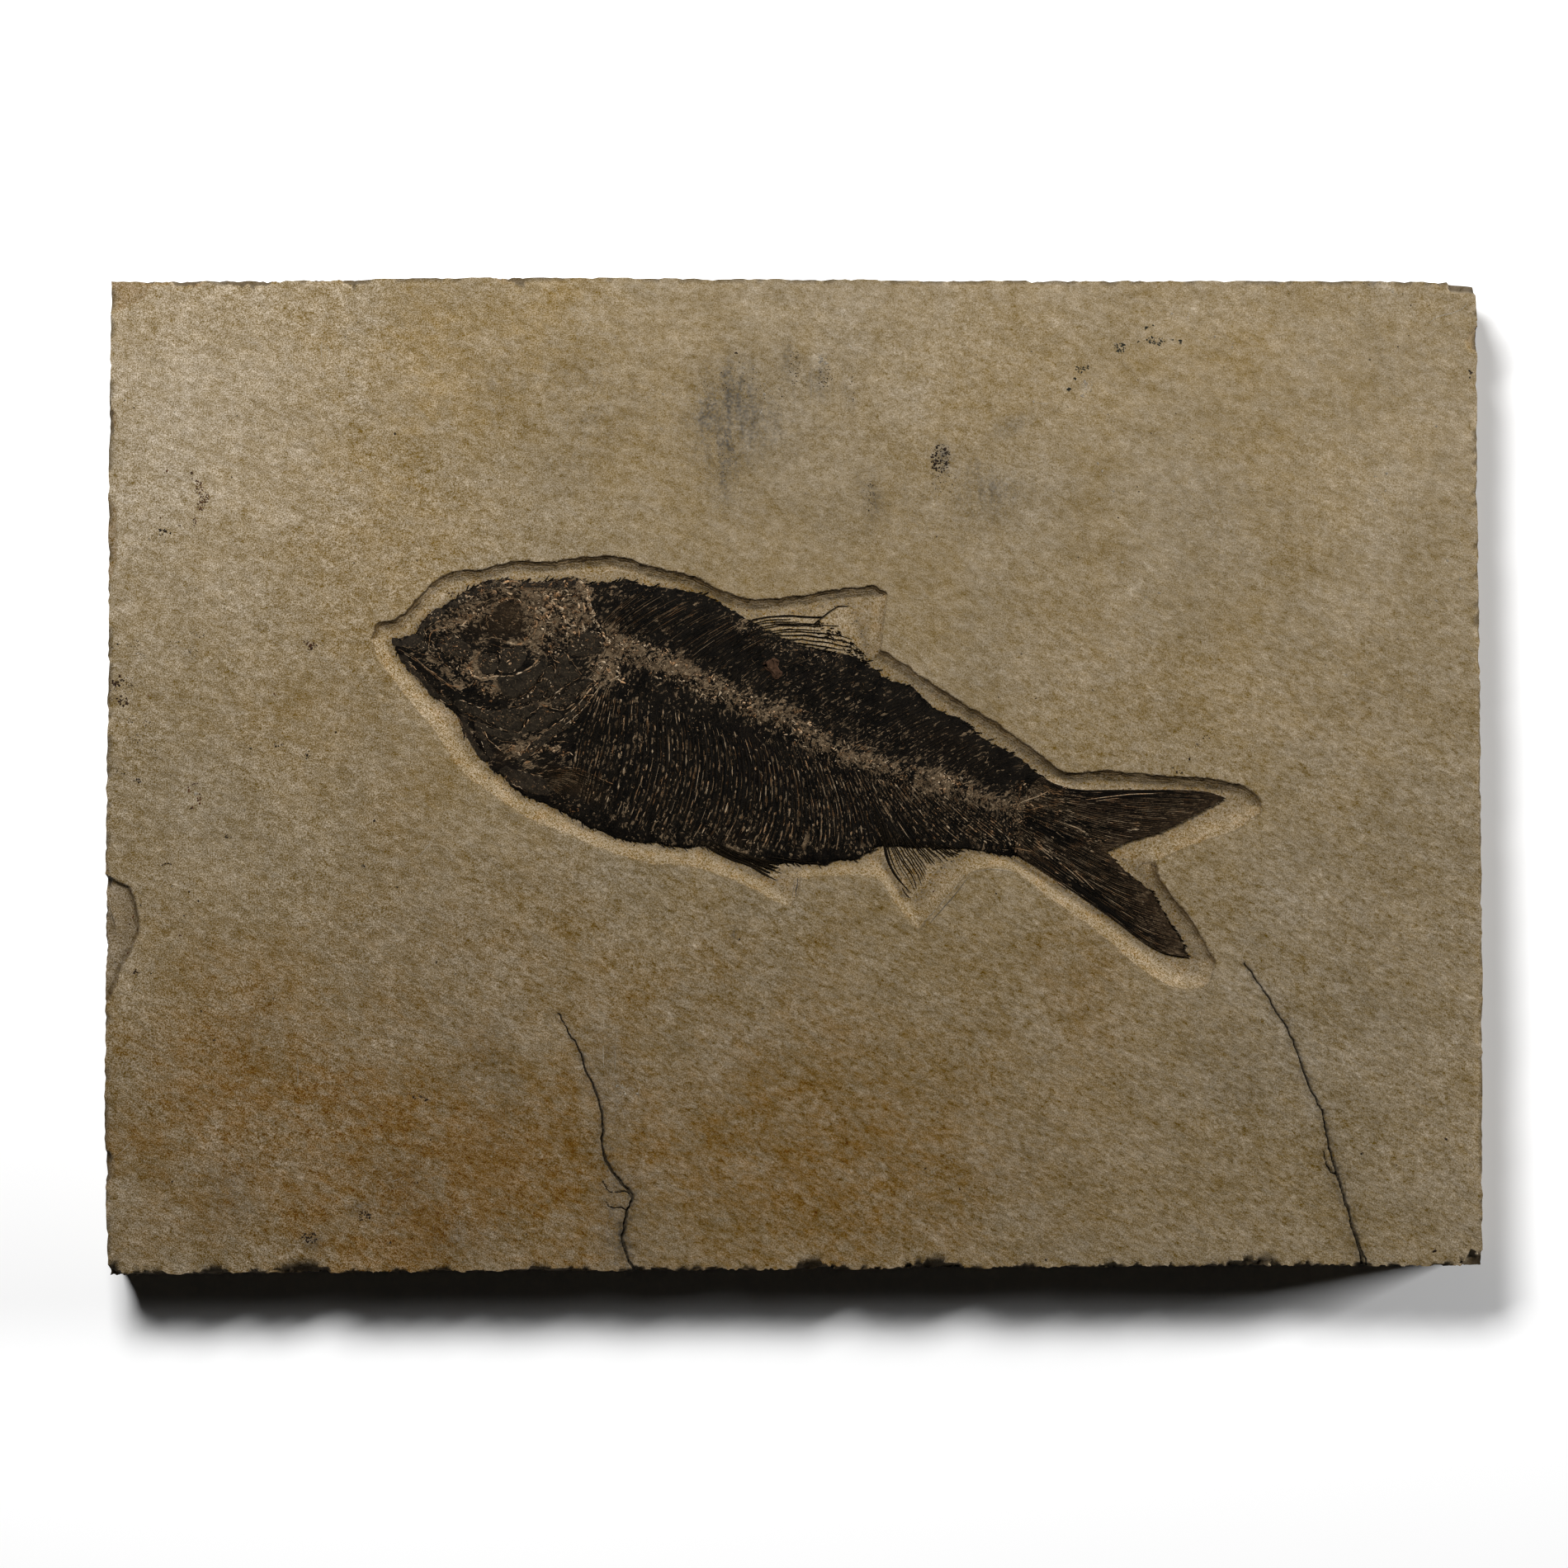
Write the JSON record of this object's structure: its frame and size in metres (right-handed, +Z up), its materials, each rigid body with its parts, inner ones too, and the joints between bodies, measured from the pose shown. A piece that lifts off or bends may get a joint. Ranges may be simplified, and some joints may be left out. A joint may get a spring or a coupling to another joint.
{
  "type": "fossil fish on a limestone slab",
  "caption": "Dark pressed fossil of a herring-like fish lying in a shallow cleared trench on a rough rectangular slab of laminated limestone.",
  "frame": {"origin": "middle of the slab's flat underside", "axes": "+X along the slab's long side from the fish's snout towards its tail, +Y towards the fish's back, +Z up out of the face that shows the fish"},
  "size_m": [0.4348, 0.3151, 0.0223],
  "materials": {
    "limestone": "rough split bed, tan grey with ochre stains",
    "fossil_bone": "dark brown-black mineral film, dull to faintly satin"
  },
  "bodies": {
    "root": {"limestone_slab": "limestone", "fossil_fish": "fossil_bone"}
  },
  "joints": []
}
